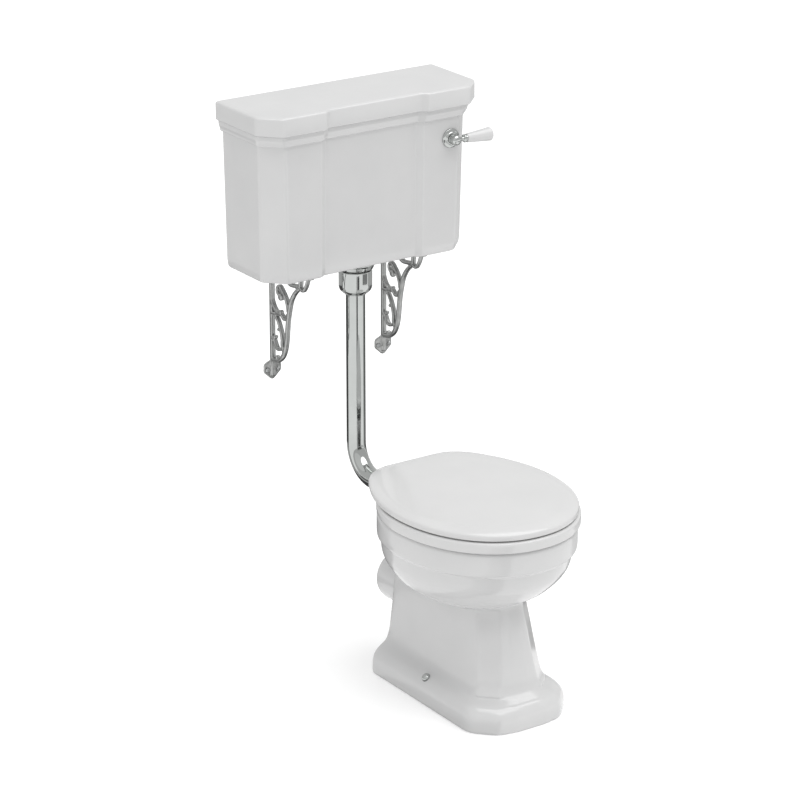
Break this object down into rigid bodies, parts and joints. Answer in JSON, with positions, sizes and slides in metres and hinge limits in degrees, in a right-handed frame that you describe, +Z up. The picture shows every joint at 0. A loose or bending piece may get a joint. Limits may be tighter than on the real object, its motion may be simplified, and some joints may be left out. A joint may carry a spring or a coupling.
{
  "type": "low-level toilet suite",
  "caption": "Low-level toilet suite: pedestal pan with hinged seat and lid, bent flush pipe, and a panelled cistern with a side lever on scrolled wall brackets.",
  "frame": {"origin": "On the floor, on the centre line, in the middle of the sole strip under the back of the pan's foot.", "axes": "+Z up; +Y towards the wall, so the bowl's front faces -Y; +X on the right of someone facing the suite."},
  "size_m": [0.5163, 0.73, 1.1013],
  "materials": {
    "white_china": "glossy white glaze",
    "seat_lacquer": "glossy white moulded seat",
    "chrome": "polished chrome plate",
    "bracket_metal": "satin nickel-coloured casting",
    "zinc_steel": "zinc plated",
    "brass": "plain brass",
    "white_plastic": "smooth moulding",
    "rubber_dark": "matt rubber",
    "rubber_white": "matt white rubber"
  },
  "bodies": {
    "suite": {"pan": "white_china", "cistern_body": "white_china", "floor_screw_cap_left": "chrome", "floor_screw_cap_right": "chrome", "flush_pipe": "chrome", "coupling_nut": "chrome", "siphon_back_nut": "chrome", "lever_rose": "chrome", "hinge_rod": "chrome", "hinge_pillar_left": "chrome", "hinge_pillar_right": "chrome", "bracket_left": "bracket_metal", "bracket_right": "bracket_metal", "floor_screw_left": "zinc_steel", "floor_screw_right": "zinc_steel", "deck_stud_left": "zinc_steel", "deck_stud_right": "zinc_steel", "bracket_screw_left_inner": "zinc_steel", "bracket_screw_left_outer": "zinc_steel", "bracket_screw_right_inner": "zinc_steel", "bracket_screw_right_outer": "zinc_steel", "cistern_wall_screw_left": "zinc_steel", "cistern_wall_screw_right": "zinc_steel", "lever_bush_nut": "brass", "float_arm_pin": "brass", "siphon_body": "white_plastic", "valve_body": "white_plastic", "valve_back_nut": "white_plastic", "wing_nut_left": "white_plastic", "wing_nut_right": "white_plastic", "flush_cone": "rubber_dark", "joint_ring": "rubber_dark", "siphon_washer": "rubber_dark", "pillar_washer_left": "rubber_white", "pillar_washer_right": "rubber_white"},
    "seat_ring": {"seat_ring": "seat_lacquer", "ring_hinge_leaf_left": "chrome", "ring_hinge_leaf_right": "chrome", "ring_buffer_1": "rubber_white", "ring_buffer_2": "rubber_white", "ring_buffer_3": "rubber_white", "ring_buffer_4": "rubber_white"},
    "seat_lid": {"seat_lid": "seat_lacquer", "lid_hinge_leaf_left": "chrome", "lid_hinge_leaf_right": "chrome", "lid_buffer_left": "rubber_white", "lid_buffer_right": "rubber_white"},
    "lever": {"lever_crank": "chrome", "lever_handle": "white_china", "lever_end_cap": "chrome", "lever_spindle": "brass", "lift_arm": "brass"},
    "siphon_lift": {"lift_plate": "white_plastic", "siphon_diaphragm": "rubber_dark", "siphon_link": "zinc_steel"},
    "float": {"float_arm": "brass", "float_ball": "white_plastic"},
    "cistern_lid": {"cistern_lid": "white_china"}
  },
  "joints": [
    {"name": "seat_hinge", "type": "hinge", "parent": "suite", "child": "seat_ring", "pos_m": [0, 0.024, 0.388], "axis": [-1, 0, 0], "range_deg": [0, 100]},
    {"name": "lid_hinge", "type": "hinge", "parent": "seat_ring", "child": "seat_lid", "pos_m": [0, 0.024, 0.388], "axis": [1, 0, 0], "range_deg": [-100, 0]},
    {"name": "lever_turn", "type": "hinge", "parent": "suite", "child": "lever", "pos_m": [0.179, 0.163, 0.998], "axis": [0, 1, 0], "range_deg": [0, 25], "stiffness_Nm_per_rad": 0.4, "springref_deg": -11.46},
    {"name": "siphon_lift", "type": "slide", "parent": "suite", "child": "siphon_lift", "axis": [0, 0, 1], "range_m": [0, 0.0426]},
    {"name": "float_swing", "type": "hinge", "parent": "suite", "child": "float", "pos_m": [0.175, 0.29, 0.9523], "axis": [0, -1, 0], "range_deg": [0, 20]},
    {"name": "cistern_lid_lift", "type": "slide", "parent": "suite", "child": "cistern_lid", "axis": [0, 0, 1], "range_m": [0, 0.12]}
  ],
  "couplings": [
    {"joint": "siphon_lift", "follows": "lever_turn", "m_per_rad": 0.0972}
  ]
}
